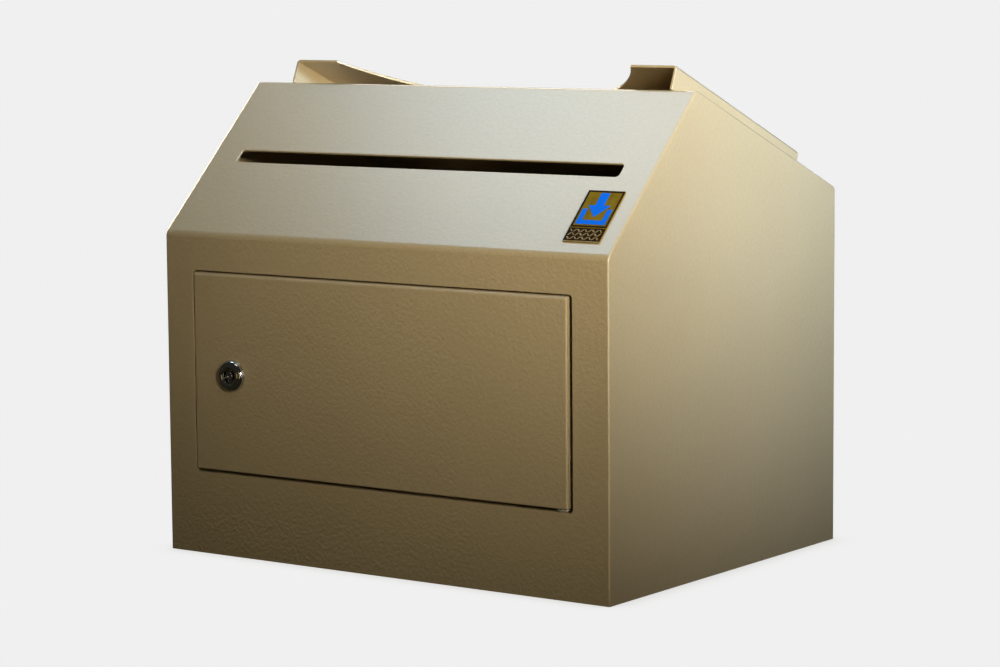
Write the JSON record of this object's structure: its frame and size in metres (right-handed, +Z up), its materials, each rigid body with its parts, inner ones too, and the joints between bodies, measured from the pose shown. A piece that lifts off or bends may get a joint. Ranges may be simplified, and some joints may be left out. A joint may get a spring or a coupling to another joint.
{
  "type": "document drop box",
  "caption": "Countertop sheet-steel drop box with a sloping slotted front, a keyed hinged door and an open envelope pocket on its rear slope.",
  "frame": {"origin": "middle of the base's underside", "axes": "+X to the right seen from the front, +Y to the rear, +Z up"},
  "size_m": [0.4, 0.3161, 0.3677],
  "materials": {
    "beige_powder_coat": "fine textured powder coat",
    "beige_door_coat": "fine textured powder coat",
    "zinc_plated_steel": "bright zinc plate",
    "chrome_plate": "polished chrome plate",
    "brass": "bare turned brass",
    "natural_nylon": "natural nylon",
    "gold_foil": "printed gold foil"
  },
  "bodies": {
    "box": {"front_shell": "beige_powder_coat", "rear_shell": "beige_powder_coat", "left_side_panel": "beige_powder_coat", "right_side_panel": "beige_powder_coat", "base_tray": "beige_powder_coat", "envelope_pocket": "beige_powder_coat", "anti_fish_baffle": "beige_powder_coat", "label_plate": "gold_foil", "upper_jamb": "beige_powder_coat", "lower_jamb": "beige_powder_coat", "strike_jamb": "beige_powder_coat", "upper_door_stop": "beige_powder_coat", "lower_door_stop": "beige_powder_coat", "upper_hinge_bush": "natural_nylon", "lower_hinge_bush": "natural_nylon"},
    "door": {"door_pan": "beige_door_coat", "upper_hinge_pin": "zinc_plated_steel", "lower_hinge_pin": "zinc_plated_steel", "hinge_thrust_washer": "natural_nylon", "lock_housing": "chrome_plate", "lock_washer": "zinc_plated_steel", "lock_nut": "zinc_plated_steel"},
    "lock_plug": {"lock_spindle": "chrome_plate", "tumbler_pin_1": "brass", "tumbler_pin_2": "brass", "tumbler_pin_3": "brass", "tumbler_pin_4": "brass", "tumbler_pin_5": "brass", "tumbler_pin_6": "brass", "tumbler_pin_7": "brass", "stop_washer": "zinc_plated_steel", "lock_cam": "zinc_plated_steel", "cam_washer": "zinc_plated_steel", "cam_nut": "zinc_plated_steel"}
  },
  "joints": [
    {"name": "door_hinge", "type": "hinge", "parent": "box", "child": "door", "pos_m": [0.1587, -0.1485, 0.138], "axis": [0, 0, 1], "range_deg": [0, 105]},
    {"name": "lock_turn", "type": "hinge", "parent": "door", "child": "lock_plug", "pos_m": [-0.1354, -0.14, 0.137], "axis": [0, -1, 0], "range_deg": [0, 90]}
  ]
}
